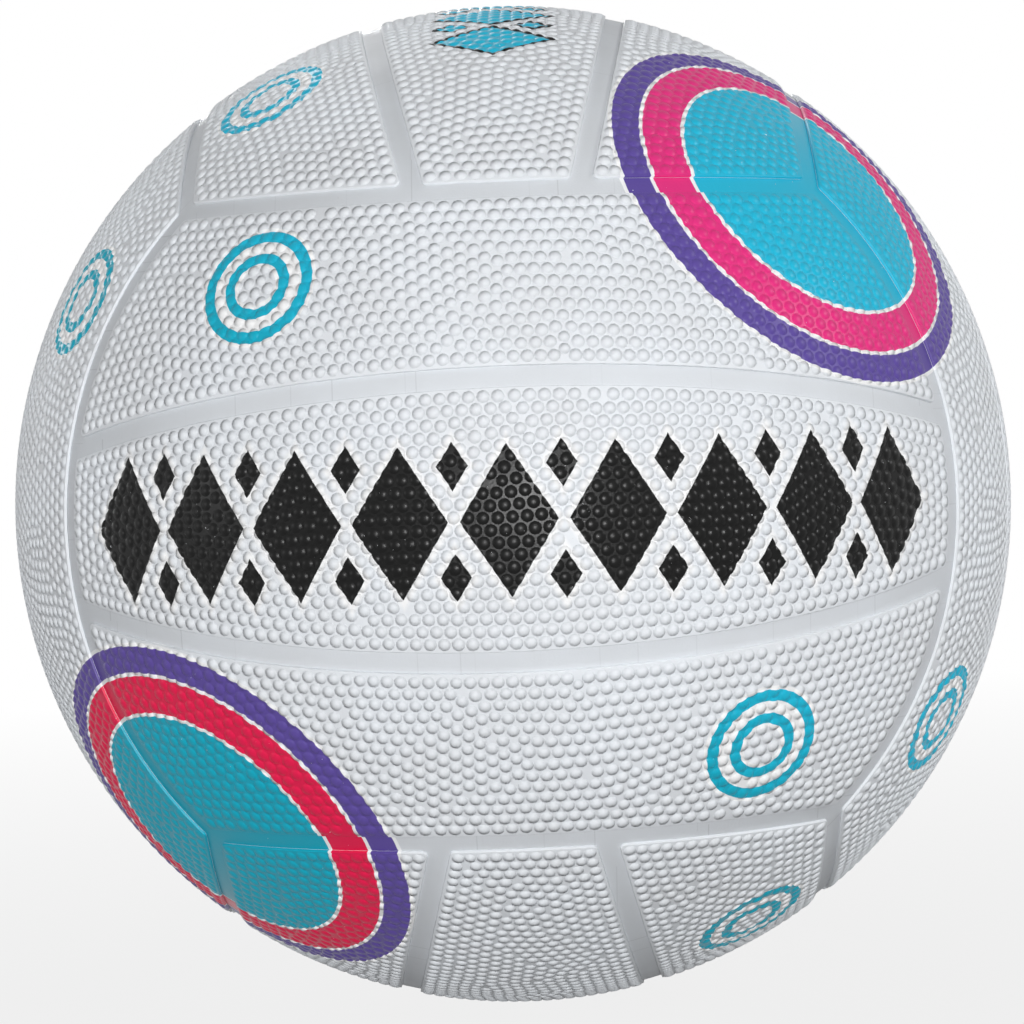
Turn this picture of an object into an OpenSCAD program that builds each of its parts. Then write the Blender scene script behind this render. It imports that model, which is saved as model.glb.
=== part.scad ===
// Netball: eighteen pimpled rubber panels on a smooth channel rubber, over a thread winding and an air bladder.
// Origin at the centre of the ball, +Z up. The front face looks along -Y, and its strips run along X.

/* [Ball] */
// Girth of the inflated ball, measured over the pimples
girth = 700; // [560:5:780]
// Width of the channel between two panels, along the surface
channel_w = 4.2; // [2.6:0.1:6]
// Tilt of a face's two inner channels, as seen from the centre of the ball
strip_tilt = 14.2; // [10:0.1:18]

/* [Layers] */
// Thickness of a cover panel, from its bond up to the tips of its pimples
panel_t = 0.9; // [0.6:0.05:2.5]
// Thickness of the channel rubber under the panels
channel_t = 0.8; // [0.4:0.05:2]
// Thickness of the thread winding
winding_t = 0.5; // [0.3:0.05:1.5]
// Thickness of the bladder's wall
bladder_t = 0.6; // [0.4:0.05:1.5]
// Bond line of cement between two layers
bond_gap = 0.05; // [0.04:0.01:0.2]

/* [Valve housing] */
// Depth of the valve's outer face below the tips of the pimples
valve_recess = 0.5; // [0.2:0.05:1.5]
// Diameter of the stem that comes up through the layers
stem_d = 9; // [8.4:0.1:12]
// Clearance round the stem in every layer
stem_gap = 0.1; // [0.05:0.01:0.3]
// Diameter of the flange under the valve patch
flange_d = 22; // [16:0.5:30]
// Thickness of the flange
flange_t = 1.2; // [0.8:0.1:2]
// Diameter of the body below the flange
body_d = 11; // [9:0.1:14]
// Length of the body below the flange
body_len = 7; // [5:0.1:12]
// Diameter of the rubber patch between the flange and the bladder
patch_d = 34; // [31:0.5:44]
// Thickness of the patch
patch_t = 0.8; // [0.4:0.05:1.5]

/* [Valve plug] */
// Diameter of the needle hole, for a pump needle of 2.0
needle_hole_d = 2.2; // [2:0.05:2.4]
// Diameter of the funnel at the mouth of the needle hole
funnel_d = 3.4; // [2.8:0.1:3.8]
// Depth of the funnel
funnel_depth = 0.5; // [0.3:0.05:0.9]
// Diameter of the plug's head
head_d = 6.6; // [6:0.1:7]
// Thickness of the plug's head
head_t = 1.4; // [1:0.1:2]
// Diameter of the plug's shank
shank_d = 4.8; // [4.4:0.1:5.2]
// Diameter of the bead that locks the plug in its housing
bead_d = 6.2; // [5.8:0.1:6.8]
// Length of the bead
bead_len = 1.6; // [1:0.1:2]
// Length of the shank between the head and the bead
neck_len = 4; // [3:0.1:5]
// Length of the tapered tail that stands out below the housing
tail_len = 3; // [2:0.1:5]
// Diameter of the tail's closed end
tail_d = 3.2; // [2.8:0.1:4]
// Thickness of the slit lips that close the needle hole
lip_t = 1.6; // [1:0.1:1.9]
// Clearance between the plug and its housing
plug_gap = 0.05; // [0.03:0.01:0.1]

/* [Hidden] */
// Facets of the spheres and of the valve's round parts
sphere_fn = 180;
valve_fn = 72;
// How far a cutting shape runs past what it cuts
overrun = 1;

// A border of a face is cut by a flat plane at this share of the ball's radius: then eight corners meet exactly
border_share = 1 / sqrt(3);
r_ball = girth / (2 * PI);
border = r_ball * border_share;
// The same channel width, measured square to the border's plane
border_gap = channel_w * sqrt(1 - border_share * border_share);
reach = r_ball + overrun;

// Radii of the layers, from the outside inwards
panel_in_r = r_ball - panel_t;
channel_out_r = panel_in_r - bond_gap;
channel_in_r = channel_out_r - channel_t;
winding_out_r = channel_in_r - bond_gap;
winding_in_r = winding_out_r - winding_t;
bladder_out_r = winding_in_r - bond_gap;
bladder_in_r = bladder_out_r - bladder_t;
patch_out_r = bladder_in_r - bond_gap;
patch_in_r = patch_out_r - patch_t;
flange_out_r = patch_in_r - bond_gap;
flange_in_r = flange_out_r - flange_t;

// Heights along the valve's axis, from the centre of the ball
valve_top = r_ball - valve_recess;
flange_mid = (flange_out_r + flange_in_r) / 2;
body_bottom = flange_in_r - body_len;
seat = valve_top - head_t;
bead_top = seat - neck_len;
bead_bottom = bead_top - bead_len;
tail_bottom = body_bottom - tail_len;

white = [0.93, 0.93, 0.94];
grey_white = [0.84, 0.85, 0.87];
thread_white = [0.88, 0.86, 0.8];
black = [0.08, 0.08, 0.09];
grey_black = [0.16, 0.16, 0.17];

// Each face: its name, its turns about the cube diagonal, its half turn, and what its strips are called
FACES = [
  ["front", 0, [0, 0, 0], ["upper", "middle", "lower"]],
  ["back", 0, [0, 0, 180], ["upper", "middle", "lower"]],
  ["bottom", 1, [0, 0, 0], ["right", "middle", "left"]],
  ["top", 1, [180, 0, 0], ["right", "middle", "left"]],
  ["left", 2, [0, 0, 0], ["back", "middle", "front"]],
  ["right", 2, [0, 0, 180], ["front", "middle", "back"]],
];
// Side of the face that a strip lies on: 1 above, 0 in the middle, -1 below
SIDES = [1, 0, -1];
valve_panel = "back_middle_panel";

function panel_name(face, side) = str(face[0], "_", face[3][1 - side], "_panel");

// Height of the tilted channel's edge at a depth y in front of the centre, half a channel inwards or outwards
function strip_edge(y, half) = y * tan(strip_tilt) + half / cos(strip_tilt);

// Section of the middle strip across its face, as depth and height
function middle_section() =
  let (near = border + border_gap / 2, half = -channel_w / 2)
  [
    [-near, -strip_edge(near, half)],
    [-reach, -strip_edge(reach, half)],
    [-reach, strip_edge(reach, half)],
    [-near, strip_edge(near, half)]
  ];

// Section of the side strip that lies above the middle one
function side_section() =
  let (near = border + border_gap / 2, top = border - border_gap / 2, half = channel_w / 2)
  [
    [-near, strip_edge(near, half)],
    [-reach, strip_edge(reach, half)],
    [-reach, top],
    [-near, top]
  ];

module shell(outer_r, inner_r) {
  difference() {
    sphere(r = outer_r, $fn = sphere_fn);
    sphere(r = inner_r, $fn = sphere_fn);
  }
}

// Moves what stands on +Z to the middle of the back face
module on_valve_axis() {
  rotate([-90, 0, 0]) children();
}

module valve_opening() {
  on_valve_axis()
    translate([0, 0, patch_in_r - overrun])
      cylinder(h = reach - patch_in_r + overrun, d = stem_d + 2 * stem_gap, $fn = valve_fn);
}

// A layer of the ball, open where the valve's stem comes through
module ball_layer(outer_r, inner_r) {
  difference() {
    shell(outer_r, inner_r);
    valve_opening();
  }
}

// A round piece of a layer, centred on the valve
module layer_disc(outer_r, inner_r, d) {
  intersection() {
    shell(outer_r, inner_r);
    cylinder(h = reach, d = d, $fn = valve_fn);
  }
}

// A strip of the front face
module strip(side) {
  intersection() {
    shell(r_ball, panel_in_r);
    mirror([0, 0, side < 0 ? 1 : 0])
      rotate([90, 0, 90])
        linear_extrude(height = 2 * reach, center = true)
          polygon(side == 0 ? middle_section() : side_section());
  }
}

// One pimpled cover panel, turned from the front face to its own
module cover_panel(face, side) {
  color(white)
    difference() {
      rotate(face[2]) rotate(a = 120 * face[1], v = [1, 1, 1]) strip(side);
      if (panel_name(face, side) == valve_panel) valve_opening();
    }
}

// The smooth rubber that shows in every channel
module channel_rubber() {
  color(grey_white) ball_layer(channel_out_r, channel_in_r);
}

// Nylon thread, wound all over the bladder in every direction
module thread_winding() {
  color(thread_white) ball_layer(winding_out_r, winding_in_r);
}

module bladder() {
  color(black) ball_layer(bladder_out_r, bladder_in_r);
}

// Rubber disc that spreads the valve's pull over the bladder
module valve_patch() {
  color(grey_black)
    difference() {
      on_valve_axis() layer_disc(patch_out_r, patch_in_r, patch_d);
      valve_opening();
    }
}

// Counterbore for the plug's head, hole for its shank and groove for its bead
module plug_socket() {
  translate([0, 0, seat]) cylinder(h = head_t + overrun, d = head_d + 2 * plug_gap, $fn = valve_fn);
  translate([0, 0, body_bottom - overrun])
    cylinder(h = seat - body_bottom + 2 * overrun, d = shank_d + 2 * plug_gap, $fn = valve_fn);
  translate([0, 0, bead_bottom - plug_gap])
    cylinder(h = bead_len + 2 * plug_gap, d = bead_d + 2 * plug_gap, $fn = valve_fn);
}

module valve_housing() {
  color(white)
    on_valve_axis()
      difference() {
        union() {
          translate([0, 0, body_bottom]) cylinder(h = flange_mid - body_bottom, d = body_d, $fn = valve_fn);
          layer_disc(flange_out_r, flange_in_r, flange_d);
          translate([0, 0, body_bottom]) cylinder(h = valve_top - body_bottom, d = stem_d, $fn = valve_fn);
        }
        plug_socket();
      }
}

// Soft insert with the needle hole, closed below by two slit lips
module valve_plug() {
  color(black)
    on_valve_axis()
      difference() {
        union() {
          translate([0, 0, seat]) cylinder(h = head_t, d = head_d, $fn = valve_fn);
          translate([0, 0, body_bottom]) cylinder(h = seat - body_bottom, d = shank_d, $fn = valve_fn);
          translate([0, 0, bead_bottom]) cylinder(h = bead_len, d = bead_d, $fn = valve_fn);
          translate([0, 0, tail_bottom]) cylinder(h = tail_len, d1 = tail_d, d2 = shank_d, $fn = valve_fn);
        }
        translate([0, 0, tail_bottom + lip_t])
          cylinder(h = valve_top - tail_bottom - lip_t + overrun, d = needle_hole_d, $fn = valve_fn);
        translate([0, 0, valve_top - funnel_depth])
          cylinder(h = funnel_depth, d1 = needle_hole_d, d2 = funnel_d, $fn = valve_fn);
      }
}

for (face = FACES)
  for (side = SIDES)
    cover_panel(face, side);
channel_rubber();
thread_winding();
bladder();
valve_patch();
valve_housing();
valve_plug();
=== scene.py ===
import math

import bmesh
import bpy
import numpy as np
from mathutils import Matrix, Vector
from mathutils.geometry import delaunay_2d_cdt


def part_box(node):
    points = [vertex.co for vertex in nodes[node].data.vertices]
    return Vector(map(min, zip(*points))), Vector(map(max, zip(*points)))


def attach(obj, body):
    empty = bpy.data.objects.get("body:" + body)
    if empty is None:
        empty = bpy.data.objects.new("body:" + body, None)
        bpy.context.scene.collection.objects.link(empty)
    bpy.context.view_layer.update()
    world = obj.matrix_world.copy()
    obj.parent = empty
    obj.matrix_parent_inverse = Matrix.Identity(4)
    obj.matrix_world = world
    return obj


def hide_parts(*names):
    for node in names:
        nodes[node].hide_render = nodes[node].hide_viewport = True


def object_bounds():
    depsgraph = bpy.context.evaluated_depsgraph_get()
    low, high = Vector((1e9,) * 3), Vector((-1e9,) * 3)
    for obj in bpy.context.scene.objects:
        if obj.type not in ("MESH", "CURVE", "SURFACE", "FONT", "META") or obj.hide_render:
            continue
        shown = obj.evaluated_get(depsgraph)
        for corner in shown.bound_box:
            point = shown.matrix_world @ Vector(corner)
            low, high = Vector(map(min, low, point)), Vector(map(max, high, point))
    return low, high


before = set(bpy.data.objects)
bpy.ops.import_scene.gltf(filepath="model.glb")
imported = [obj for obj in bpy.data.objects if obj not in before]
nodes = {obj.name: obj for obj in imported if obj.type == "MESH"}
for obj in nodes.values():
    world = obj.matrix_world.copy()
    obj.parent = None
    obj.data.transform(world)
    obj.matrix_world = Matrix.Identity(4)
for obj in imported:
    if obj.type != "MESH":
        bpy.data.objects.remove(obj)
cad_box = [list(corner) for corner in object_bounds()]


# Bladder: the airtight bag of black butyl rubber, blown up inside the winding.
# It is moulded in two cups that are cured together, and keeps the grey bloom of its mould's talcum.
MM = 0.001
# Noise values at which a cloud of bloom begins and is full, how much rougher it is, and how deep a grain is
BLOOM_EDGES = (0.38, 0.66)
BLOOM_ROUGHNESS = 0.2
GRAIN_DEPTH = 0.12


class Wire:
    """A socket of a node tree. Arithmetic on wires adds Math nodes to the tree."""

    def __init__(self, tree, socket=None):
        self.tree = tree
        self.socket = socket

    def node(self, kind, settings=None, sockets=None, out=0):
        """Adds a node, with its settings first and then the values or wires of its sockets."""
        made = self.tree.nodes.new(kind)
        for name, value in (settings or {}).items():
            setattr(made, name, value)
        for name, value in (sockets or {}).items():
            if isinstance(value, Wire):
                self.tree.links.new(value.socket, made.inputs[name])
            else:
                made.inputs[name].default_value = value
        return Wire(self.tree, made.outputs[out])

    def feed(self, node, name):
        self.tree.links.new(self.socket, node.inputs[name])

    def math(self, operation, *values, clamp=False):
        settings = {"operation": operation, "use_clamp": clamp}
        return self.node("ShaderNodeMath", settings, dict(enumerate(values)))

    def rise(self, start, stop):
        """0 up to start, 1 from stop on, and a straight rise between them."""
        return self.math("MULTIPLY_ADD", self, 1 / (stop - start), -start / (stop - start), clamp=True)

    def noise(self, size, detail=2.0, roughness=0.5):
        """Cloudy values round 0.5, for a wire that holds a place; size is that of one cloud."""
        sockets = {"Vector": self, "Scale": 1 / size, "Detail": detail, "Roughness": roughness}
        return self.node("ShaderNodeTexNoise", None, sockets, "Fac")

    def blend(self, first, second):
        """The first colour where this wire is 0, the second where it is 1."""
        sockets = {"Factor": self, 6: first, 7: second}
        return self.node("ShaderNodeMix", {"data_type": "RGBA"}, sockets, 2)

    def __add__(self, other):
        return self.math("ADD", self, other)

    def __sub__(self, other):
        return self.math("SUBTRACT", self, other)

    def __rsub__(self, other):
        return self.math("SUBTRACT", other, self)

    def __mul__(self, other):
        return self.math("MULTIPLY", self, other)

    def __truediv__(self, other):
        return self.math("DIVIDE", self, other)

    def __abs__(self):
        return self.math("ABSOLUTE", self)

    def __neg__(self):
        return self.math("MULTIPLY", self, -1)

    __radd__ = __add__


def least(*wires):
    low = wires[0]
    for wire in wires[1:]:
        low = low.math("MINIMUM", low, wire)
    return low


def most(*wires):
    high = wires[0]
    for wire in wires[1:]:
        high = high.math("MAXIMUM", high, wire)
    return high


def open_finish(name, specular=0.5):
    """A new material: itself, its shader, and the place on the piece as a wire."""
    material = bpy.data.materials.new(name)
    material.use_nodes = True
    shader = material.node_tree.nodes["Principled BSDF"]
    shader.inputs["Specular IOR Level"].default_value = specular
    place = Wire(material.node_tree).node("ShaderNodeTexCoord", out="Object")
    return material, shader, place


def raised(height, depth):
    """The normal of a surface that is raised by that depth where the height wire is 1."""
    sockets = {"Height": height, "Distance": depth, "Strength": 1.0}
    return height.node("ShaderNodeBump", None, sockets, "Normal")


def moulded_rubber(name, colour, bloom, roughness, cloud, grain):
    """Rubber as it leaves its mould: clouds of bloom of one size over the colour, and grain of another."""
    material, shader, place = open_finish(name)
    clouds = place.noise(cloud, 3.0).rise(*BLOOM_EDGES)
    clouds.blend((*colour, 1), (*bloom, 1)).feed(shader, "Base Color")
    (clouds * BLOOM_ROUGHNESS + roughness).feed(shader, "Roughness")
    raised(place.noise(grain), grain * GRAIN_DEPTH).feed(shader, "Normal")
    return material


def dress(piece, material):
    piece.data.materials.clear()
    piece.data.materials.append(material)


BUTYL = moulded_rubber(
    "butyl_rubber",
    colour=(0.016, 0.016, 0.018),
    bloom=(0.05, 0.05, 0.053),
    roughness=0.5,
    cloud=14 * MM,
    grain=0.5 * MM,
)
dress(nodes["bladder"], BUTYL)


# Valve patch: a dark grey rubber disc, cemented to the inside of the bladder round the valve.
# It spreads the valve's pull over the thin wall, and carries the weave of the cloth it was cured on.
WEAVE_SIZE = 0.9 * MM
WEAVE_DEPTH = 0.05 * MM
PATCH_CLOUD = 6 * MM


def cloth_cured_rubber():
    material, shader, place = open_finish("patch_rubber")
    x, _, z = (place.node("ShaderNodeSeparateXYZ", None, {0: place}, i) for i in range(3))
    turn = math.tau / WEAVE_SIZE
    weave = (x * turn).math("SINE", x * turn) * (z * turn).math("SINE", z * turn)
    clouds = place.noise(PATCH_CLOUD, 3.0).rise(0.35, 0.7)
    clouds.blend((0.022, 0.022, 0.024, 1), (0.045, 0.045, 0.048, 1)).feed(shader, "Base Color")
    (clouds * 0.15 + 0.62).feed(shader, "Roughness")
    raised(weave, WEAVE_DEPTH).feed(shader, "Normal")
    return material


dress(nodes["valve_patch"], cloth_cured_rubber())


# Valve housing: a white rubber body with a flange, moulded in one and cured to the patch by its flange.
# Its stem comes up through every layer, and its rounded rim ends just under the tips of the pimples.

# Sizes of the valve, as the CAD has them
STEM_R = 4.5 * MM
FLANGE_R = 11 * MM
HOUSING_BODY_R = 5.5 * MM
BODY_LENGTH = 7 * MM
FLANGE_T = 1.2 * MM
HEAD_R = 3.3 * MM
HEAD_T = 1.4 * MM
SHANK_R = 2.4 * MM
BEAD_R = 3.1 * MM
BEAD_LENGTH = 1.6 * MM
NECK_LENGTH = 4 * MM
PLUG_GAP = 0.05 * MM
# Edges sharper than this are shaded as edges, and points nearer than this are one
SHARP_ANGLE = math.radians(50)
MERGE_DISTANCE = 1e-7
valve_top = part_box("valve_housing")[1].y
body_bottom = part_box("valve_housing")[0].y
flange_in_r = body_bottom + BODY_LENGTH
flange_out_r = flange_in_r + FLANGE_T
seat = valve_top - HEAD_T
bead_top = seat - NECK_LENGTH
bead_bottom = bead_top - BEAD_LENGTH


def rounded(corners, radius, steps=4, side_share=0.45):
    """A closed outline of (x, y) corners, each cut round by a curve that takes at most a share of a side."""
    points = []
    for before, corner, after in zip(corners[-1:] + corners[:-1], corners, corners[1:] + corners[:1]):
        before, corner, after = map(np.array, (before, corner, after))
        into, out_of = before - corner, after - corner
        cut = min(radius, *(np.linalg.norm(way) * side_share for way in (into, out_of)))
        start = corner + into * cut / np.linalg.norm(into)
        stop = corner + out_of * cut / np.linalg.norm(out_of)
        for share in np.linspace(0, 1, steps):
            points.append((1 - share) ** 2 * start + 2 * share * (1 - share) * corner + share**2 * stop)
    return points


def turned(name, outline, segments):
    """A closed ring of rubber: the outline of (distance from the valve's axis, height on it), spun."""
    across, height = np.array(outline).T
    turns = np.arange(segments) * math.tau / segments
    verts = np.stack(
        [
            np.outer(np.cos(turns), across),
            np.broadcast_to(height, (segments, len(height))),
            np.outer(np.sin(turns), across),
        ],
        axis=-1,
    ).reshape(-1, 3)
    count = len(outline)
    faces = []
    for turn in range(segments):
        here, there = turn * count, (turn + 1) % segments * count
        for i in range(count):
            j = (i + 1) % count
            faces.append((here + i, there + i, there + j, here + j))
    mesh = bpy.data.meshes.new(name)
    mesh.from_pydata(verts.tolist(), [], faces)
    return placed(name, mesh)


def linked(name, data):
    """A new object in the scene that holds this data."""
    made = bpy.data.objects.new(name, data)
    bpy.context.scene.collection.objects.link(made)
    return made


def placed(name, mesh):
    """A smooth-shaded piece that holds this mesh, with doubled points merged and faces turned outwards."""
    work = bmesh.new()
    work.from_mesh(mesh)
    bmesh.ops.remove_doubles(work, verts=work.verts, dist=MERGE_DISTANCE)
    bmesh.ops.recalc_face_normals(work, faces=work.faces)
    work.to_mesh(mesh)
    work.free()
    mesh.shade_smooth()
    mesh.set_sharp_from_angle(angle=SHARP_ANGLE)
    return linked(name, mesh)


def on_layer(radius, across):
    """Height at which a round layer of the ball passes a distance from the valve's axis."""
    return math.sqrt(radius**2 - across**2)


def housing_outline():
    flange_top = [(r, on_layer(flange_out_r, r)) for r in np.linspace(STEM_R, FLANGE_R, 6)]
    flange_under = [(r, on_layer(flange_in_r, r)) for r in np.linspace(FLANGE_R, HOUSING_BODY_R, 5)]
    return [
        (SHANK_R + PLUG_GAP, bead_bottom - PLUG_GAP),
        (BEAD_R + PLUG_GAP, bead_bottom - PLUG_GAP),
        (BEAD_R + PLUG_GAP, bead_top + PLUG_GAP),
        (SHANK_R + PLUG_GAP, bead_top + PLUG_GAP),
        (SHANK_R + PLUG_GAP, seat),
        (HEAD_R + PLUG_GAP, seat),
        (HEAD_R + PLUG_GAP, valve_top),
        (STEM_R, valve_top),
        *flange_top,
        *flange_under,
        (HOUSING_BODY_R, body_bottom),
        (SHANK_R + PLUG_GAP, body_bottom),
    ]


WHITE_RUBBER = moulded_rubber(
    "white_valve_rubber",
    colour=(0.7, 0.71, 0.73),
    bloom=(0.6, 0.6, 0.6),
    roughness=0.38,
    cloud=3 * MM,
    grain=0.3 * MM,
)
housing = turned("housing", rounded(housing_outline(), radius=0.35 * MM), segments=96)
dress(housing, WHITE_RUBBER)
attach(housing, "root")
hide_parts("valve_housing")


# Valve plug: a soft black rubber insert, pushed into the housing until its bead snaps into a groove.
# The needle goes in by a funnel and a narrow hole, and two lips below close the hole behind it.
NEEDLE_R = 1.1 * MM
FUNNEL_R = 1.7 * MM
FUNNEL_DEPTH = 0.5 * MM
TAIL_R = 1.6 * MM
LIP_T = 1.6 * MM
tail_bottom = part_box("valve_plug")[0].y

plug_corners = [
    (0, tail_bottom),
    (TAIL_R, tail_bottom),
    (SHANK_R, body_bottom),
    (SHANK_R, bead_bottom),
    (BEAD_R, bead_bottom),
    (BEAD_R, bead_top),
    (SHANK_R, bead_top),
    (SHANK_R, seat),
    (HEAD_R, seat),
    (HEAD_R, valve_top),
    (FUNNEL_R, valve_top),
    (NEEDLE_R, valve_top - FUNNEL_DEPTH),
    (NEEDLE_R, tail_bottom + LIP_T),
    (0, tail_bottom + LIP_T),
]
plug_outline = rounded(plug_corners, radius=0.25 * MM)
plug_outline = [(max(across, 0), height) for across, height in plug_outline]
PLUG_RUBBER = moulded_rubber(
    "plug_rubber",
    colour=(0.02, 0.02, 0.022),
    bloom=(0.045, 0.045, 0.047),
    roughness=0.36,
    cloud=2.5 * MM,
    grain=0.3 * MM,
)
plug = turned("plug", plug_outline, segments=72)
dress(plug, PLUG_RUBBER)
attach(plug, "root")
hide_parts("valve_plug")


# Thread winding: nylon thread, dipped in latex and wound over the bladder along great circles.
# Each turn is set a little round from the last, so that the layer holds the ball to one girth.

# Turns in all, before those that would pass too near the valve's stem are left out
WOUND_TURNS = 260
STEM_CLEARANCE = 1 * MM
THREAD_R = 0.22 * MM
THREAD_SIDES = 5
THREAD_STEPS = 72
FIBRE_SIZE = 0.12 * MM
FIBRE_DEPTH = 0.02 * MM
LATEX_CLOUD = 9 * MM
# Times half a turn, this is the angle that spreads points evenly in a spiral
GOLDEN_HALVES = 3 - math.sqrt(5)


def layer_radii(node):
    """Inner and outer radius of one of the ball's round layers, as the frame has it."""
    radii = [v.co.length for v in nodes[node].data.vertices]
    return min(radii), max(radii)


def new_tree(name, inputs):
    """A geometry tree with a mesh input and named sizes; returns it and a wire for each input."""
    tree = bpy.data.node_groups.new(name, "GeometryNodeTree")
    tree.interface.new_socket("Geometry", in_out="INPUT", socket_type="NodeSocketGeometry")
    for label in inputs:
        tree.interface.new_socket(label, in_out="INPUT", socket_type="NodeSocketFloat")
    tree.interface.new_socket("Geometry", in_out="OUTPUT", socket_type="NodeSocketGeometry")
    entry = tree.nodes.new("NodeGroupInput")
    return tree, [Wire(tree, socket) for socket in entry.outputs[: len(inputs) + 1]]


def close_tree(shape, material):
    """Ends a geometry tree: real faces, their material, smooth shading."""
    real = shape.node("GeometryNodeRealizeInstances", None, {0: shape})
    finished = real.node("GeometryNodeSetMaterial", None, {"Geometry": real, "Material": material})
    smooth = real.node("GeometryNodeSetShadeSmooth", None, {"Geometry": finished})
    smooth.feed(smooth.tree.nodes.new("NodeGroupOutput"), "Geometry")


def grown(name, mesh, tree, sizes):
    """Runs a geometry tree over a mesh, and gives the result as a plain mesh."""
    bed = linked(name + "_bed", mesh)
    modifier = bed.modifiers.new("growth", "NODES")
    modifier.node_group = tree
    for item in tree.interface.items_tree:
        if item.name in sizes:
            modifier[item.identifier] = sizes[item.name]
    seen = bed.evaluated_get(bpy.context.evaluated_depsgraph_get())
    result = bpy.data.meshes.new_from_object(seen)
    result.name = name
    result.set_sharp_from_angle(angle=SHARP_ANGLE)
    bpy.data.objects.remove(bed)
    return result


def facing(vector):
    """The turn that stands +Z on a vector."""
    return vector.node("FunctionNodeAlignRotationToVector", {"axis": "Z"}, {"Vector": vector})


def winding_tree(material):
    tree, (bed, loop_r, thread_r) = new_tree("wound_thread", ["Loop radius", "Thread radius"])
    sockets = {"Resolution": THREAD_STEPS, "Radius": loop_r}
    loop = bed.node("GeometryNodeCurvePrimitiveCircle", None, sockets)
    sockets = {"Resolution": THREAD_SIDES, "Radius": thread_r}
    round_thread = bed.node("GeometryNodeCurvePrimitiveCircle", None, sockets)
    sockets = {"Curve": loop, "Profile Curve": round_thread}
    turn = bed.node("GeometryNodeCurveToMesh", None, sockets)
    axle = bed.node("GeometryNodeInputNamedAttribute", {"data_type": "FLOAT_VECTOR"}, {"Name": "axle"})
    sockets = {"Points": bed, "Instance": turn, "Rotation": facing(axle)}
    close_tree(bed.node("GeometryNodeInstanceOnPoints", None, sockets), material)
    return tree


def wound_axles(turns, clear):
    """Axles spread evenly over half a sphere; a turn that would meet the valve is left out."""
    index = np.arange(turns)
    height = (index + 0.5) / turns
    angle = index * math.pi * GOLDEN_HALVES
    across = np.sqrt(1 - height**2)
    axles = np.stack([across * np.cos(angle), height, across * np.sin(angle)], axis=1)
    return axles[height > clear]


def latex_dipped_thread():
    material, shader, place = open_finish("latex_dipped_thread")
    fibres = place.noise(FIBRE_SIZE, 3.0)
    latex = place.noise(LATEX_CLOUD, 3.0).rise(0.4, 0.65)
    yarn = fibres.blend((0.55, 0.52, 0.43, 1), (0.78, 0.76, 0.68, 1))
    latex.blend(yarn, (0.68, 0.6, 0.42, 1)).feed(shader, "Base Color")
    (0.75 - latex * 0.3).feed(shader, "Roughness")
    raised(fibres, FIBRE_DEPTH).feed(shader, "Normal")
    return material


winding_in_r, winding_out_r = layer_radii("thread_winding")
axles = wound_axles(WOUND_TURNS, (STEM_R + STEM_CLEARANCE) / winding_in_r)
bed = bpy.data.meshes.new("winding_bed")
bed.from_pydata([(0, 0, 0)] * len(axles), [], [])
bed.attributes.new("axle", "FLOAT_VECTOR", "POINT").data.foreach_set("vector", axles.ravel())
thread = grown(
    "winding",
    bed,
    winding_tree(latex_dipped_thread()),
    {"Loop radius": (winding_in_r + winding_out_r) / 2, "Thread radius": THREAD_R},
)
winding = linked("winding", thread)
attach(winding, "root")
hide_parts("thread_winding")


# Channel rubber: the smooth white layer, cured over the winding, that the panels are bonded to.
# It shows as the recessed band between two panels, with fine marks of the mould, and takes the print too.
STEM_GAP = 0.1 * MM
VALVE_HOLE_R = STEM_R + STEM_GAP
CHANNEL_RINGS = 110
CHANNEL_SEGMENTS = 216
channel_in_r, channel_out_r = layer_radii("channel_rubber")
ball_r = layer_radii("front_middle_panel")[1]
PIMPLE_H = 0.30 * MM
land_r = ball_r - PIMPLE_H
# A face's border lies at this share of the radius, and so does each part of the way to a corner
BORDER_SHARE = 1 / math.sqrt(3)

# Inks of the print; the grey of the mould's marks, which is also painted into low places as shade and dirt;
# and the brown of dirt specks
PURPLE = (0.112, 0.074, 0.326, 1)
PINK_COOL, PINK_WARM = (0.79, 0.034, 0.225, 1), (0.79, 0.013, 0.08, 1)
TEAL_COOL, TEAL_WARM = (0.018, 0.49, 0.70, 1), (0.007, 0.40, 0.54, 1)
INK_BLACK = (0.003, 0.003, 0.003, 1)
UNDERPRINT = (0.93, 0.935, 0.94, 1)
SHADE_DIRT_AND_MARK_GREY = (0.30, 0.31, 0.33, 1)
SPECK_BROWN = (0.42, 0.36, 0.33, 1)
SPECK_STRENGTH = 0.35
# How strongly the rubber mirrors what is round it, its roughness when bare, and what clouds and ink change
RUBBER_SPECULAR = 0.18
RUBBER_ROUGHNESS = 0.5
CLOUD_ROUGHNESS = 0.08
INK_SMOOTHING = 0.2
RUBBER_GRAIN = 0.03 * MM
# A pimple is shaded as if it stood higher by these many times its height: first where it is bare, then inked
ROUNDER = 1.75
INK_ROUNDER = 0.3
# An edge of the print is blurred, creeps with the height of the pimples, and wanders a little
EDGE_BLUR = 0.05 * MM
EDGE_CREEP = 0.3
EDGE_WANDER = 0.25 * MM
# Depths under the outside at which the print has ended and where it is still whole
PRINT_ENDS = 0.06 * MM
PRINT_WHOLE = 0.02 * MM
# Marks of the mould: one in every so many millimetres, dark up to a half width and gone at another
MARK_PITCH = 9 * MM
MARK_DARK = 0.04 * MM
MARK_GONE = 0.16 * MM

# Bands round every other corner of the ball, from the outermost in: nearest and farthest from the corner
BANDS = [(39.4 * MM, 45 * MM), (30.6 * MM, 38.6 * MM), (-1 * MM, 29.8 * MM)]
# Twin rings round one centre, with the way to it
TWIN_RINGS = [(10.0 * MM, 12.4 * MM), (5.2 * MM, 7.4 * MM)]
TWIN_RING_CENTRE = (0.43, 0.797, 0.424)
# How far the white ground reaches past the colours, and past the black lozenges
KEYLINE = 0.8 * MM
HALO = 1.5 * MM
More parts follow.
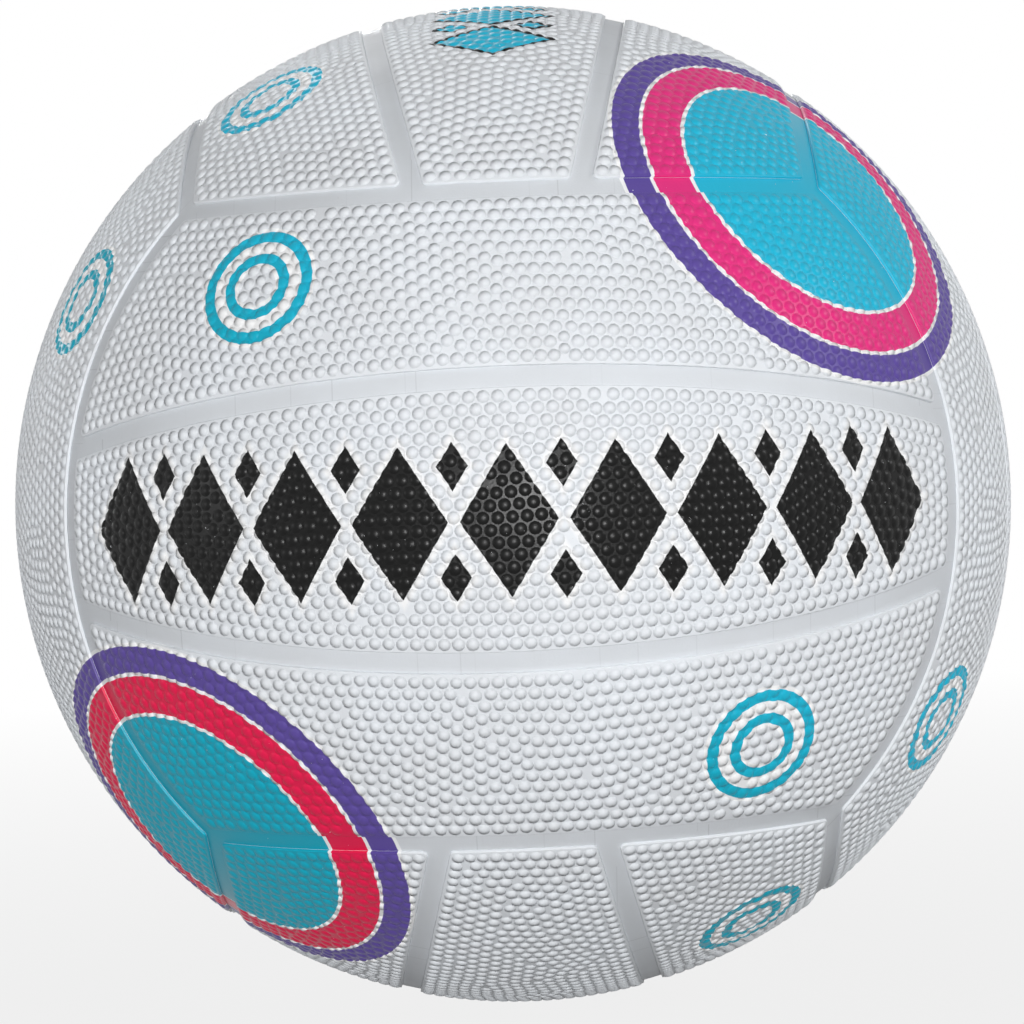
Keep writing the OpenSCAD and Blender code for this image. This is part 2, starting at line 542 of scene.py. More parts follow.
# Rows of lozenges: half sizes of a big and a small one, the last one's number, and how far out small ones lie
BLACK_ROW = {
    "pitch": 21 * MM,
    "half": (9.4 * MM, 14.6 * MM),
    "last": 4,
    "small": (3 * MM, 4.6 * MM),
    "small_at": 10.6 * MM,
}
TEAL_ROW = {
    "pitch": 18 * MM,
    "half": (7.6 * MM, 12 * MM),
    "last": 3,
    "small": (2.2 * MM, 3.2 * MM),
    "small_at": 8.4 * MM,
}
# Half sizes of the lozenge that is left bare round the valve
VALVE_PLACE = (11.3 * MM, 17.5 * MM)


def sector(distance, inner, outer):
    """1 where a distance lies between two sizes, with the slight blur of a printed edge."""
    return inside(least(distance - inner, outer - distance))


def inside(depth):
    """1 where the depth inside an outline is above zero."""
    return depth.rise(-EDGE_BLUR, EDGE_BLUR)


class Print:
    """The screen print, laid out by directions from the ball's centre. Its sizes are arcs on the ball."""

    def __init__(self, place, outside_r):
        unit = place.node("ShaderNodeVectorMath", {"operation": "NORMALIZE"}, {0: place})
        self.x, self.y, self.z = (unit.node("ShaderNodeSeparateXYZ", None, {0: unit}, i) for i in range(3))
        radius = place.node("ShaderNodeVectorMath", {"operation": "LENGTH"}, {0: place}, "Value")
        self.lift = radius - land_r
        self.creep = self.lift * EDGE_CREEP + (place.noise(1.6 * MM, 1.0) - 0.5) * EDGE_WANDER
        rubbed = place.noise(0.9 * MM, 3.0, 0.7).rise(0.72, 0.75)
        self.kept = (1 - rubbed) * radius.rise(outside_r - PRINT_ENDS, outside_r - PRINT_WHOLE)

    def corner_rings(self):
        """Distance from the nearest of every other corner where three faces meet."""
        x, y, z = self.x, self.y, self.z
        cosine = most(x - y + z, y - x + z, x + y - z, -x - y - z) * BORDER_SHARE
        return cosine.math("ARCCOSINE", cosine) * ball_r + self.creep

    def twin_rings(self):
        """Distance from the nearest centre of twin rings: three stand round each of the other corners."""
        far = [abs(self.x), abs(self.y), abs(self.z)]
        a, b, c = TWIN_RING_CENTRE
        cosine = most(
            far[0] * a + far[1] * b + far[2] * c,
            far[1] * a + far[2] * b + far[0] * c,
            far[2] * a + far[0] * b + far[1] * c,
        )
        away = cosine.math("ARCCOSINE", cosine) * ball_r + self.creep
        # Round the corners that have the bands, a metre more leaves no ring
        return away + (self.x * self.y * self.z).rise(1e-3, 0)

    def lozenges(self, along, across, outward, row):
        """Place along and beside a row of big and small lozenges, and the depth inside them."""
        run = along.math("ARCTAN2", along, abs(outward)) * ball_r
        side = abs(across.math("ARCSINE", across)) * ball_r
        cell = run / row["pitch"]
        beside = abs(cell - cell.math("ROUND", cell)) * row["pitch"]
        big = lozenge_depth(beside, side, row["half"])
        small = lozenge_depth(row["pitch"] / 2 - beside, abs(side - row["small_at"]), row["small"])
        big = least(big, (row["last"] + 0.5) * row["pitch"] - abs(run))
        small = least(small, row["last"] * row["pitch"] - abs(run))
        return run, side, most(big, small) + self.creep


def lozenge_depth(along, across, half):
    """How far a place lies inside one lozenge; below zero outside it."""
    wide, high = half
    return (1 - along / wide - across / high) * (wide * high / math.hypot(wide, high))


def mould_marks(art):
    """Fine lines across the channels, where the inserts of the mould met; some are hardly there."""
    x, y, z = art.x, art.y, art.z
    past_border = BORDER_SHARE + 0.02
    front = abs(y).math("GREATER_THAN", abs(y), past_border)
    side = abs(x).math("GREATER_THAN", abs(x), past_border) * (1 - front)
    along = x * front + z * side + y * (1 - front - side)
    cells = along * (ball_r / MARK_PITCH)
    cell = cells.math("FLOOR", cells)
    # A number of its own for every cell of every channel, for the noise to start from
    row = (z * 3).math("ROUND", z * 3) * 57 + (y * 2).math("ROUND", y * 2) * 131 + cell
    spot = row.node("ShaderNodeTexWhiteNoise", {"noise_dimensions": "1D"}, {"W": row}, "Value")
    strength = row.node("ShaderNodeTexWhiteNoise", {"noise_dimensions": "1D"}, {"W": row + 0.37}, "Value")
    away = abs(cells - cell - spot) * MARK_PITCH
    return (1 - away.rise(MARK_DARK, MARK_GONE)) * strength * strength


def printed_rubber(name, bare, shade, outside_r, low_shade_and_dirt, marked):
    """White rubber, printed on its outside; the last two arguments say how much shade and dirt are painted
    grey into low places, and how dark the mould's marks are.
    """
    material, shader, place = open_finish(name, RUBBER_SPECULAR)
    art = Print(place, outside_r)
    clouds = place.noise(22 * MM, 4.0, 0.6).rise(0.36, 0.66)
    rubber = clouds.blend((*bare, 1), (*shade, 1))
    # Painted shade, partly dirt: the lower a place lies under the pimples' tops, the greyer it is, most on
    # the land and the walls
    height = art.lift.rise(-0.02 * MM, PIMPLE_H)
    low_shade_and_dirt_mask = (1 - height) * low_shade_and_dirt
    rubber = low_shade_and_dirt_mask.blend(rubber, SHADE_DIRT_AND_MARK_GREY)
    if marked:
        rubber = (mould_marks(art) * marked).blend(rubber, SHADE_DIRT_AND_MARK_GREY)
    specks = place.noise(1.1 * MM, 2.0, 0.6).rise(0.755, 0.79) * place.noise(30 * MM, 1.0).rise(0.5, 0.6)
    rubber = (specks * SPECK_STRENGTH).blend(rubber, SPECK_BROWN)

    # The inks are cooler towards the upper right
    cool = (art.x + art.z).rise(-0.25, 0.25)
    pink = cool.blend(PINK_WARM, PINK_COOL)
    teal = cool.blend(TEAL_WARM, TEAL_COOL)
    corner = art.corner_rings()
    twin = art.twin_rings()
    run, side, black_row = art.lozenges(art.x, art.z, art.y, BLACK_ROW)
    clear_of_valve = most(inside(-art.y), inside(-lozenge_depth(abs(run), side, VALVE_PLACE)))
    _, _, teal_row = art.lozenges(art.y, art.x, art.z, TEAL_ROW)
    on_top = art.z.rise(0, 0.01)

    white_base = most(
        inside(BANDS[0][1] + KEYLINE - corner),
        sector(twin, TWIN_RINGS[-1][0] - KEYLINE, TWIN_RINGS[0][1] + KEYLINE),
        (black_row * clear_of_valve).rise(-HALO, -HALO * 0.4) * clear_of_valve,
    )
    colour = (white_base * art.kept).blend(rubber, UNDERPRINT)
    inks = [
        (PURPLE, sector(corner, *BANDS[0])),
        (pink, sector(corner, *BANDS[1])),
        (teal, most(sector(corner, *BANDS[2]), *(sector(twin, *sizes) for sizes in TWIN_RINGS))),
        (INK_BLACK, most(inside(black_row) * clear_of_valve, inside(teal_row + KEYLINE) * on_top)),
        (teal, inside(teal_row) * on_top),
    ]
    covered = None
    for ink, mask in inks:
        mask = mask * art.kept
        colour = mask.blend(colour, ink)
        covered = mask if covered is None else most(covered, mask)
    colour.feed(shader, "Base Color")
    (RUBBER_ROUGHNESS + clouds * CLOUD_ROUGHNESS - covered * INK_SMOOTHING).feed(shader, "Roughness")
    spot = place.node("ShaderNodeAttribute", {"attribute_name": "spot"}, out="Vector")
    across, along = (place.node("ShaderNodeSeparateXYZ", None, {0: spot}, i) for i in range(2))
    far = across * across + along * along
    grain = place.noise(0.5 * MM, 2.0) * RUBBER_GRAIN
    bare_normal, ink_normal = (
        raised(grain - far * (PIMPLE_H * more), 1.0) for more in (ROUNDER, INK_ROUNDER)
    )
    sockets = {"Factor": covered, 4: bare_normal, 5: ink_normal}
    covered.node("ShaderNodeMix", {"data_type": "VECTOR"}, sockets, 1).feed(shader, "Normal")
    return material


def channel_outline():
    """Section of the channel rubber: two arcs about the ball's centre, open at the valve."""
    outer_stop = math.asin(VALVE_HOLE_R / channel_out_r)
    inner_stop = math.asin(VALVE_HOLE_R / channel_in_r)
    outer = [
        (channel_out_r * math.sin(a), channel_out_r * math.cos(a))
        for a in np.linspace(math.pi, outer_stop, CHANNEL_RINGS)
    ]
    inner = [
        (channel_in_r * math.sin(a), channel_in_r * math.cos(a))
        for a in np.linspace(inner_stop, math.pi, CHANNEL_RINGS // 2)
    ]
    return outer + inner


# Painted shade: the channel's white is darker than the panels', though it is the same rubber, so that the
# recessed band looks as dim as the shaded pimples beside it
CHANNEL_FINISH = printed_rubber(
    "channel_rubber",
    bare=(0.70, 0.73, 0.765),
    shade=(0.67, 0.695, 0.725),
    outside_r=channel_out_r,
    low_shade_and_dirt=0.0,
    marked=0.35,
)
channel = turned("channel", channel_outline(), CHANNEL_SEGMENTS)
dress(channel, CHANNEL_FINISH)
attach(channel, "root")
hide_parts("channel_rubber")


# Cover panels: eighteen pads of white rubber, three to a face, moulded with round grip pimples.
# Each is bonded to the channel rubber, with a drafted wall, a rounded edge and a narrow land along it.
# The pimples lie nearly side by side, in rows along the edges and in loose sixes further in.
CHANNEL_W = 4.2 * MM
STRIP_TILT = math.radians(14.2)
CORNER_R = 1.1 * MM
CORNER_STEPS = 5
EDGE_STEP = 2.0 * MM
# Points that carry the curve of the land: their pitch, and the share of it that they keep from the edge
LAND_STEP = 2.6 * MM
LAND_CLEAR = 0.45
LAND_W = 0.45 * MM
PIMPLE_R = 1.38 * MM
PIMPLE_PITCH = 2.8 * MM
PIMPLE_GAP = 0.05 * MM
PIMPLE_SINK = 0.06 * MM
PIMPLE_SIDES = 12
# How far a pimple reaches over the land, how uneven pimples are, and the limits of their radius as shares
LAND_LAP = 0.08 * MM
UNEVEN = (0.97, 1.03)
LEAST_RADIUS = 0.8
GREATEST_RADIUS = 1.04
# A dome slims from its foot to its top, and falls off from its middle by this power of the squared distance
DOME_MIDDLE = 0.73
DOME_TAPER = 0.27
DOME_POWER = 1.1
# Rows of pimples are laid out this far from the middle of a face
ROWS_REACH = 65 * MM
COLUMNS_REACH = 110 * MM
# Shares of the pitch: how far rows are shaken, how far past the edge a pimple may start, and what is a gap
SHAKE = 0.32
SHAKE_DRAWS = 20_000
PAST_EDGE = 0.4
GAP_SHARE = 0.82
# Places tried for a pimple that fills a gap lie this far apart
GAP_PITCH = 1 * MM
# Pimples push each other apart while they are nearer than a share of the pitch, which falls step by step
SETTLING_STEPS = 80
PUSH_REACH = (1.2, 1.03)
PUSH = 0.3
# The valve comes up in the middle of a strip that is built as one of the front face's
VALVE_LAND_R = 7.2 * MM
VALVE_RING_POINTS = 48
VALVE_WAY = np.array([0.0, -1.0, 0.0])
# Kind of result asked from the triangulation, and the distance at which it merges points
CDT_OUTPUT = 2
CDT_MERGE = 1e-7
# Places on a panel's map, from 0 to 1: its width, its outer side's two halves, and its inner side above them
MAP_LEFT = 0.002
MAP_WIDTH = 0.996
MIDDLE_LAP = 0.02
HALF_HEIGHT = 0.455
RIGHT_HALF_AT = 0.003
LEFT_HALF_AT = 0.468
INNER_HEIGHT = 0.06
INNER_AT = 0.935
panel_in_r = layer_radii("front_middle_panel")[0]
# Edge of a panel, from its foot up to the land: how far in from the outline, and at what radius
EDGE = [
    (0.0, panel_in_r),
    (0.06 * MM, land_r - 0.09 * MM),
    (0.12 * MM, land_r - 0.025 * MM),
    (0.22 * MM, land_r),
]


def unit(vector):
    return vector / np.linalg.norm(vector)


def strip_sides(side):
    """Four sides of a strip of the front face, each as its plane's normal and share of the radius.

    They come in turn round the strip: the lower, the right, the upper and the left.
    """
    half = CHANNEL_W / 2 / ball_r
    border_half = half * math.sqrt(1 - BORDER_SHARE**2)
    sine, cosine = math.sin(STRIP_TILT), math.cos(STRIP_TILT)
    end = (np.array([0, 1.0, 0]), -BORDER_SHARE - border_half)
    if side == 0:
        low = (np.array([0, sine, -cosine]), -half)
        high = (np.array([0, sine, cosine]), -half)
    elif side > 0:
        low = (np.array([0, -sine, -cosine]), -half)
        high = (np.array([0, 0, 1.0]), BORDER_SHARE - border_half)
    else:
        low = (np.array([0, 0, -1.0]), BORDER_SHARE - border_half)
        high = (np.array([0, -sine, cosine]), -half)
    return [low, end, high, end]


def moved_in(side, inset):
    """A side that has been moved towards the middle of its strip."""
    normal, share = side
    return normal, math.sin(math.asin(share) - inset / ball_r)


def crossing(first, second, inset, right):
    """Where two sides cross once both are moved inwards, on the right or the left half of the strip."""
    (normal_a, share_a), (normal_b, share_b) = moved_in(first, inset), moved_in(second, inset)
    lean = normal_a @ normal_b
    foot = ((share_a - lean * share_b) * normal_a + (share_b - lean * share_a) * normal_b) / (1 - lean**2)
    rise = unit(np.cross(normal_a, normal_b)) * math.sqrt(1 - foot @ foot)
    return foot + rise if (rise[0] > 0) == right else foot - rise


def edge_ring(sides, inset):
    """Directions round a strip with rounded corners, moved inwards; as many for every inset."""
    corners = []
    for i, right in enumerate((True, True, False, False)):
        pair = sides[i], sides[(i + 1) % 4]
        middle = crossing(*pair, CORNER_R, right)
        away = [unit(normal - (normal @ middle) * middle) for normal, _ in pair]
        turn = (CORNER_R - inset) / ball_r
        blends = (unit((1 - s) * away[0] + s * away[1]) for s in np.linspace(0, 1, CORNER_STEPS))
        corners.append([middle * math.cos(turn) + blend * math.sin(turn) for blend in blends])
    ring = []
    for i, corner in enumerate(corners):
        normal, share = moved_in(sides[i], inset)
        start, stop = corners[i - 1][-1] - share * normal, corner[0] - share * normal
        angle = math.atan2(normal @ np.cross(start, stop), start @ stop)
        steps = side_steps(sides, i)
        for turn in np.linspace(0, angle, steps + 1)[1:-1]:
            ring.append(share * normal + start * math.cos(turn) + np.cross(normal, start) * math.sin(turn))
        ring.extend(corner)
    return ring


def side_steps(sides, i):
    """Into how many steps a side is divided."""
    right = (False, True, True, False)
    start = crossing(sides[i - 1], sides[i], CORNER_R, right[i])
    stop = crossing(sides[i], sides[(i + 1) % 4], CORNER_R, right[(i + 1) % 4])
    return max(2, round(math.acos(start @ stop) * ball_r / EDGE_STEP))


def valve_ring(inset):
    """Directions round the valve's hole, anticlockwise from outside, moved away from it."""
    away = (VALVE_HOLE_R + inset) / ball_r
    turns = np.linspace(0, math.tau, VALVE_RING_POINTS, endpoint=False)
    return [
        np.array([math.sin(away) * math.cos(t), -math.cos(away), math.sin(away) * math.sin(t)]) for t in turns
    ]


def room(directions, sides, with_valve):
    """How far directions lie inside a strip, as arcs; clear of the valve where there is one."""
    arcs = [math.asin(share) - np.arcsin(directions @ normal) for normal, share in sides]
    if with_valve:
        from_valve = np.arccos(np.clip(directions @ VALVE_WAY, -1, 1))
        arcs.append(from_valve - VALVE_LAND_R / ball_r + LAND_W / ball_r)
    return np.min(arcs, axis=0) * ball_r


def close_rows(pitch):
    """Directions in close-packed rows, along the length of a strip and far past its sides."""
    spots = []
    rows = np.arange(-ROWS_REACH, ROWS_REACH, pitch * math.sqrt(3) / 2) / ball_r
    columns = np.arange(-COLUMNS_REACH, COLUMNS_REACH, pitch) / ball_r
    for index, row in enumerate(rows):
        for column in columns + index % 2 * pitch / 2 / ball_r:
            tilt = row / math.cos(column)
            level = math.cos(column)
            spots.append((math.sin(column), -level * math.cos(tilt), level * math.sin(tilt)))
    return np.array(spots)


def settled_pimples(side, with_valve, seed):
    """Middles of a strip's pimples: shaken rows, pushed apart until they fit, with the gaps filled."""
    sides = strip_sides(side)
    clear = LAND_W + PIMPLE_R - LAND_LAP
    shake = np.random.default_rng(seed).normal(scale=SHAKE * PIMPLE_PITCH / ball_r, size=(SHAKE_DRAWS, 3))
    spots = close_rows(PIMPLE_PITCH)
    spots = spots + shake[: len(spots)]
    spots /= np.linalg.norm(spots, axis=1)[:, None]
    spots = spots[room(spots, sides, with_valve) > clear - PIMPLE_PITCH * PAST_EDGE]
    spots = pushed_apart(kept_in(spots, sides, clear, with_valve), sides, clear, with_valve)
    places = close_rows(GAP_PITCH)
    for place in places[room(places, sides, with_valve) > clear]:
        if (spots @ place).max() < math.cos(GAP_SHARE * PIMPLE_PITCH / ball_r):
            spots = np.vstack([spots, place])
    return pushed_apart(spots, sides, clear, with_valve)


def pushed_apart(spots, sides, clear, with_valve):
    """Moves crowded spots away from each other, step by step."""
    for reach in np.linspace(*PUSH_REACH, SETTLING_STEPS) * PIMPLE_PITCH / ball_r:
        apart = np.sqrt(np.maximum(2 - 2 * spots @ spots.T, 1e-12))
        np.fill_diagonal(apart, reach)
        push = np.maximum(reach - apart, 0) / apart
        spots = spots + PUSH * (push.sum(axis=1)[:, None] * spots - push @ spots)
        spots /= np.linalg.norm(spots, axis=1)[:, None]
        spots = kept_in(spots, sides, clear, with_valve)
    return spots


def kept_in(spots, sides, clear, with_valve):
    """Moves each spot that is too near a side straight back to where it is clear."""
    bounds = [(normal, math.asin(share) - clear / ball_r) for normal, share in sides[:3]]
    if with_valve:
        bounds.append((VALVE_WAY, math.pi / 2 - (VALVE_LAND_R + PIMPLE_R) / ball_r))
    for normal, limit in bounds:
        over = np.arcsin(np.clip(spots @ normal, -1, 1)) - limit
        over = np.maximum(over, 0)[:, None]
        along = normal - (spots @ normal)[:, None] * spots
        along /= np.linalg.norm(along, axis=1)[:, None]
        spots = spots * np.cos(over) - along * np.sin(over)
    return spots


def pimple_radii(spots, seed):
    """Each pimple reaches to about where its third nearest neighbour begins, and is a little uneven."""
    apart = np.sort(np.sqrt(np.maximum(2 - 2 * spots @ spots.T, 0)) * ball_r, axis=1)
    uneven = np.random.default_rng(seed).uniform(*UNEVEN, len(spots))
    least_r, greatest_r = LEAST_RADIUS * PIMPLE_R, GREATEST_RADIUS * PIMPLE_R
    return np.clip((apart[:, 3] - PIMPLE_GAP) / 2, least_r, greatest_r) * uneven


def land_spots(sides, with_valve):
    """Directions over a strip, clear of its edge, that carry the curve of the land."""
    spots = close_rows(LAND_STEP)
    return spots[room(spots, sides, with_valve) > EDGE[-1][0] + LAND_STEP * LAND_CLEAR]


def flat_map(directions):
    """Directions of the front face laid on a plane without folds, as seen from the back of the ball."""
    spread = 2 / (1 - directions[:, 1])
    return np.stack([directions[:, 0] * spread, directions[:, 2] * spread], axis=1)


def panel_bed(name, side, spots, radii, with_valve):
    """A strip's closed shell without its pimples, and a loose point where each pimple is to stand."""
    sides = strip_sides(side)
    stacks = [[edge_ring(sides, inset) for inset, _ in EDGE]]
    if with_valve:
        stacks.append([valve_ring(inset) for inset, _ in EDGE])
    verts, faces, rims, feet = [], [], [], []
    for stack in stacks:
        first, size = len(verts), len(stack[0])
        for ring, (_, radius) in zip(stack, EDGE):
            verts.extend(direction * radius for direction in ring)
        for level in range(len(EDGE) - 1):
            for i in range(size):
                a, b = first + level * size + i, first + level * size + (i + 1) % size
                faces.append((a, b, b + size, a + size))
        feet.append(list(range(first, first + size)))
        rims.append(list(range(first + (len(EDGE) - 1) * size, first + len(EDGE) * size)))
    inner = land_spots(sides, with_valve)
    rim_list = [i for rim in rims for i in rim]
    foot_list = [i for foot in feet for i in foot]
    flat = flat_map(np.vstack([np.array([unit(verts[i]) for i in rim_list]), inner]))
    loops, start = [], 0
    for rim in rims:
        loops += [(start + i, start + (i + 1) % len(rim)) for i in range(len(rim))]
        start += len(rim)
    made = delaunay_2d_cdt([tuple(p) for p in flat], loops, [], CDT_OUTPUT, CDT_MERGE)
    triangles, sources = made[2:4]
    top_first = len(verts)
    verts.extend(inner * land_r)
    verts.extend(inner * panel_in_r)
    top = rim_list + list(range(top_first, top_first + len(inner)))
    under = foot_list + list(range(top_first + len(inner), top_first + 2 * len(inner)))
    for triangle in triangles:
        corners = [sources[i][0] for i in triangle]
        over_the_hole = all(len(rims[0]) <= i < len(rim_list) for i in corners)
        if not over_the_hole:
            faces.append([top[i] for i in corners])
            faces.append([under[i] for i in reversed(corners)])
    shell_size = len(verts)
    verts.extend(spots * land_r)
    mesh = bpy.data.meshes.new(name)
    mesh.from_pydata([tuple(v) for v in verts], [], faces)
    sizes = np.concatenate([np.zeros(shell_size), radii])
    mesh.attributes.new("pimple", "FLOAT", "POINT").data.foreach_set("value", sizes)
    return mesh


def pimple_tree(material):
    """Stands a low dome with a sunk foot on each loose point, and keeps the rest of the mesh as it is."""
    tree, (bed, height, sink) = new_tree("grip_pimples", ["Height", "Sink"])
    wide = bed.node("GeometryNodeInputNamedAttribute", {"data_type": "FLOAT"}, {"Name": "pimple"})
    sockets = {"Geometry": bed, "Selection": wide.math("GREATER_THAN", wide, 0)}
    spots = bed.node("GeometryNodeSeparateGeometry", {"domain": "POINT"}, sockets, "Selection")
    shell = Wire(tree, spots.socket.node.outputs["Inverted"])
    sockets = {"Vertices": PIMPLE_SIDES, "Side Segments": 2, "Fill Segments": 1, "Radius": 1.0, "Depth": 2.0}
    block = bed.node("GeometryNodeMeshCylinder", {"fill_type": "TRIANGLE_FAN"}, sockets, "Mesh")
    place = bed.node("GeometryNodeInputPosition")
    x, y, level = (place.node("ShaderNodeSeparateXYZ", None, {0: place}, i) for i in range(3))
    slim = DOME_MIDDLE - level * DOME_TAPER
    far = (x * x + y * y) * slim * slim
    dome = (1 - far.math("POWER", far, DOME_POWER)) * height
    # Of the block's three rings, only the lowest is sunk
    above = level.math("GREATER_THAN", level, -0.5)
    up = dome * above - sink * (1 - above)
    shaped = bed.node("ShaderNodeCombineXYZ", None, {0: x * slim, 1: y * slim, 2: up})
    pimple = bed.node("GeometryNodeSetPosition", None, {"Geometry": block, "Position": shaped})
    sockets = {"Geometry": pimple, "Name": "spot", "Value": place}
    pimple = bed.node("GeometryNodeStoreNamedAttribute", {"data_type": "FLOAT_VECTOR"}, sockets)
    scale = bed.node("ShaderNodeCombineXYZ", None, {0: wide, 1: wide, 2: 1.0})
    sockets = {"Points": spots, "Instance": pimple, "Rotation": facing(place), "Scale": scale}
    pimples = bed.node("GeometryNodeInstanceOnPoints", None, sockets)
    both = bed.node("GeometryNodeJoinGeometry", None, {0: shell})
    tree.links.new(pimples.socket, both.socket.node.inputs[0])
    close_tree(both, material)
    return tree


def lay_map(mesh):
    """A map of the panel laid flat: its right half, its left half over it, and its inner side on top."""
    loops, polygons = mesh.loops, mesh.polygons
    spots = np.empty(len(mesh.vertices) * 3)
    mesh.vertices.foreach_get("co", spots)
    spots = spots.reshape(-1, 3)
    corner = np.empty(len(loops), int)
    loops.foreach_get("vertex_index", corner)
    total = np.empty(len(polygons), int)
    polygons.foreach_get("loop_total", total)
    normals = np.empty(len(polygons) * 3)
    polygons.foreach_get("normal", normals)
    normals = normals.reshape(-1, 3)
    owner = np.repeat(np.arange(len(polygons)), total)
    along = np.arcsin(spots[:, 0] / np.linalg.norm(spots, axis=1))[corner]
    tilt = np.arctan2(spots[:, 2], -spots[:, 1])[corner]
    middle = np.bincount(owner, along) / total
    place = spots[corner]
    outward = np.bincount(owner, np.einsum("ij,ij->i", place, normals[owner])) > 0
    right = (middle > 0)[owner]
    reach, low, high = np.abs(along).max(), tilt.min(), tilt.max()
    u = (np.where(right, along, -along) + MIDDLE_LAP) / (reach + MIDDLE_LAP)
    v = (tilt - low) / (high - low) * HALF_HEIGHT + np.where(right, RIGHT_HALF_AT, LEFT_HALF_AT)
    hidden = ~outward[owner]
    u[hidden] = (along[hidden] + reach) / (2 * reach)
    v[hidden] = (tilt[hidden] - low) / (high - low) * INNER_HEIGHT + INNER_AT
    layer = mesh.uv_layers.new(name="OFBake")
    layer.uv.foreach_set("vector", np.stack([u * MAP_WIDTH + MAP_LEFT, v], axis=1).ravel())


PANEL_FINISH = printed_rubber(
    "cover_rubber",
    bare=(0.835, 0.87, 0.91),
    shade=(0.80, 0.825, 0.855),
    outside_r=panel_in_r + 0.1 * MM,
    low_shade_and_dirt=0.06,
    marked=0.0,
)
PIMPLES = pimple_tree(PANEL_FINISH)
middle_spots = settled_pimples(side=0, with_valve=False, seed=11)
side_spots = settled_pimples(side=1, with_valve=False, seed=12)
valve_spots = settled_pimples(side=0, with_valve=True, seed=13)
# Each kind of strip: the side of the face that it lies on, its pimples, and whether the valve goes through it
STRIPS = {
    "upper": (1, side_spots, False),
    "middle": (0, middle_spots, False),
    "lower": (-1, side_spots * np.array([1, 1, -1]), False),
    "valve": (0, valve_spots, True),
}
BASES = {}
for seed, (name, (side, spots, with_valve)) in enumerate(STRIPS.items()):
    bed = panel_bed(name + "_bed", side, spots, pimple_radii(spots, seed), with_valve)
    BASES[name] = grown(name + "_strip", bed, PIMPLES, {"Height": PIMPLE_H, "Sink": PIMPLE_SINK})
    lay_map(BASES[name])

# Each face: its name, its turns about the cube diagonal, the axis of its half turn, and its strips' names
FACES = [
    ("front", 0, None, ("upper", "middle", "lower")),
    ("back", 0, "Z", ("upper", "middle", "lower")),
    ("bottom", 1, None, ("right", "middle", "left")),
    ("top", 1, "X", ("right", "middle", "left")),
    ("left", 2, None, ("back", "middle", "front")),
    ("right", 2, "Z", ("front", "middle", "back")),
]
for face, turns, half_turn, strips in FACES:
    turn = Matrix.Rotation(math.radians(120) * turns, 4, (1, 1, 1))
    if half_turn:
        turn = Matrix.Rotation(math.pi, 4, half_turn) @ turn
    for strip, base in zip(strips, ("upper", "middle", "lower")):
        node = f"{face}_{strip}_panel"
        mesh = BASES["valve" if node == "back_middle_panel" else base].copy()
        mesh.transform(turn)
        pad = linked(f"{face}_{strip}_pad", mesh)
        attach(pad, "root")
        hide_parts(node)


# Stage: a pale floor that the ball stands on, white to the camera but for the ball's faint shadow.
# One soft lamp before the ball gives most of the light; weaker ones light its sides, its top and its back.
FLOOR_SIZE = 6.0
FLOOR_GREY = (0.12, 0.12, 0.12, 1)
# How white the floor is to the camera under the ball, and over which distances it turns wholly white
WHITE_UNDER_BALL = 0.85
SHADOW_SHARE = 0.15
SHADOW_FADES = (0.15, 0.8)
ROOM_LIGHT = 0.09
half = FLOOR_SIZE / 2
floor_z = cad_box[0][2]
corners = [(x, y, floor_z) for x, y in ((-half, -half), (half, -half), (half, half), (-half, half))]
mesh = bpy.data.meshes.new("floor")
mesh.from_pydata(corners, [], [(0, 1, 2, 3)])
floor = linked("floor", mesh)


def white_to_camera(tree, shade, share, out):
    """Mixes plain white over a shader for rays that come from the camera, a reflection or through glass."""
    path = Wire(tree).node("ShaderNodeLightPath", out="Is Camera Ray")
    outputs = path.socket.node.outputs
    seen = most(path, Wire(tree, outputs["Is Glossy Ray"]), Wire(tree, outputs["Is Transmission Ray"]))
    glow = path.node(out, None, {"Color": (1, 1, 1, 1), "Strength": 1.0})
    return path.node("ShaderNodeMixShader", None, {0: seen * share, 1: shade, 2: glow})


material = bpy.data.materials.new("pale_floor")
material.use_nodes = True
tree = material.node_tree
paint = Wire(tree).node("ShaderNodeBsdfDiffuse", None, {"Color": FLOOR_GREY})
place = paint.node("ShaderNodeTexCoord", out="Object")
away = place.node("ShaderNodeVectorMath", {"operation": "LENGTH"}, {0: place}, "Value")
share = away.rise(*SHADOW_FADES) * SHADOW_SHARE + WHITE_UNDER_BALL
white_to_camera(tree, paint, share, "ShaderNodeEmission").feed(tree.nodes["Material Output"], "Surface")
dress(floor, material)

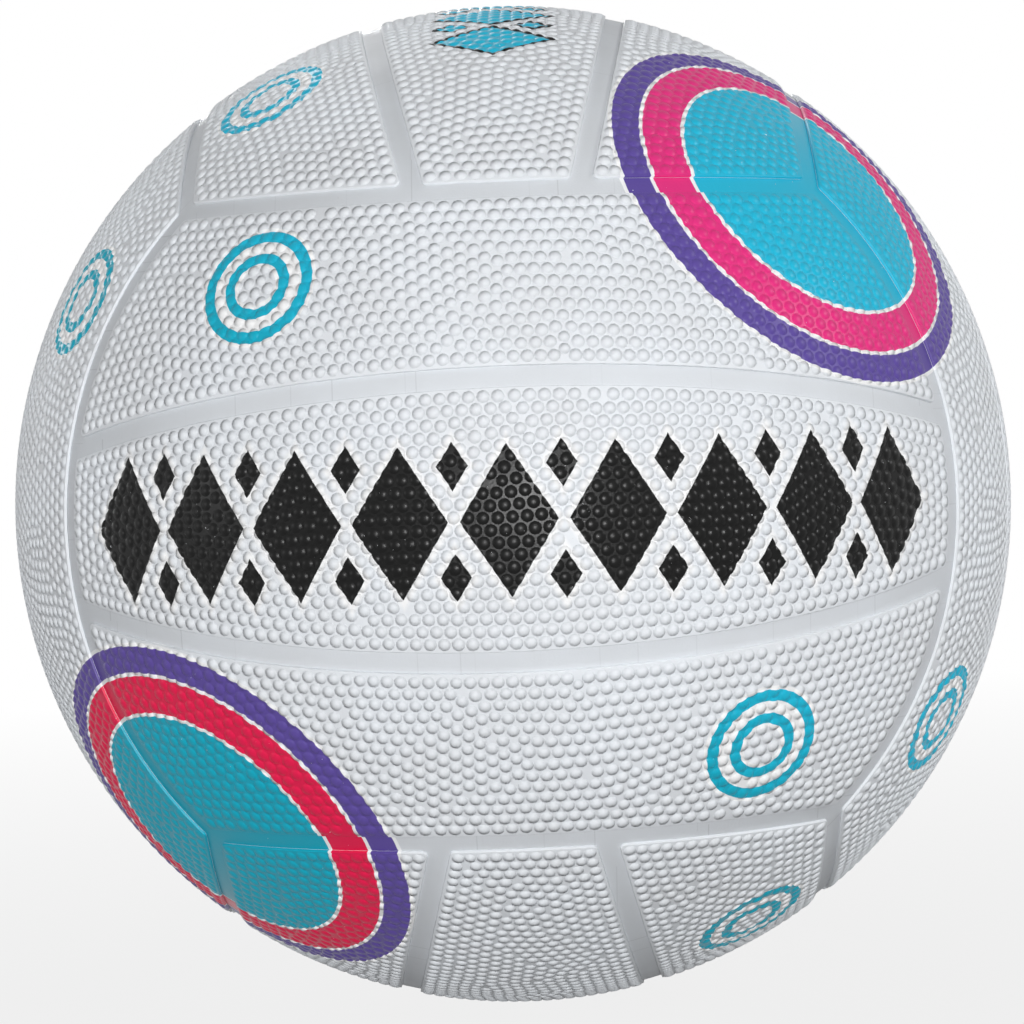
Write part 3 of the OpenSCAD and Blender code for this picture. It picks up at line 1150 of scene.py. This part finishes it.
room_world = bpy.data.worlds.new("room")
bpy.context.scene.world = room_world
room_world.use_nodes = True
tree = room_world.node_tree
wall = Wire(tree).node("ShaderNodeBackground", None, {"Color": (1, 1, 1, 1), "Strength": ROOM_LIGHT})
white_to_camera(tree, wall, 1.0, "ShaderNodeBackground").feed(tree.nodes["World Output"], "Surface")


def soft_lamp(name, place, size, power):
    """A round lamp that shines at the ball's centre."""
    data = bpy.data.lights.new(name, "AREA")
    data.shape = "DISK"
    data.size = size
    data.energy = power
    lamp = linked(name, data)
    lamp.location = place
    lamp.rotation_euler = (-Vector(place)).to_track_quat("-Z", "Y").to_euler()


soft_lamp("front_lamp", (0.06, -1.00, 0.03), size=0.22, power=7.1)
soft_lamp("right_lamp", (1.48, -0.30, 0.80), size=0.5, power=7)
soft_lamp("left_lamp", (-1.55, -0.70, 0.15), size=0.5, power=2.8)
soft_lamp("left_back_lamp", (-1.18, 1.18, 0.3), size=0.5, power=4.2)
soft_lamp("high_lamp", (-0.4, 1.1, 1.2), size=0.5, power=5.5)
soft_lamp("back_lamp", (-0.2, 1.6, 0.4), size=0.4, power=16)


# Camera: a long lens before the ball, a little above its middle, and tilted as the photographer held it.
# Its place, its turns and its lens were fitted to the ball's outline and channels in the photograph.

# Distance in radii of the ball, turns and aim past its centre in degrees, sensor and lens in millimetres
CAMERA_SHARE = 5.9
YAW, PITCH, ROLL = -0.45, 1.55, -2.35
AIM_DOWN, AIM_LEFT = 0.158, 0.022
SENSOR_W = 36
LENS = 101.8


def spun(degrees, axis):
    return Matrix.Rotation(math.radians(degrees), 4, axis)


stand = (spun(ROLL, "Y") @ spun(PITCH, "X") @ spun(YAW, "Z")).transposed()
camera_data = bpy.data.cameras.new("camera")
camera_data.lens = LENS
camera_data.sensor_width = SENSOR_W
camera = linked("camera", camera_data)
set_back = Matrix.Translation((0, -CAMERA_SHARE * ball_r, 0))
camera.matrix_world = stand @ set_back @ spun(90, "X") @ spun(AIM_LEFT, "Y") @ spun(-AIM_DOWN, "X")
bpy.context.scene.camera = camera
bpy.context.scene.view_settings.view_transform = "Standard"
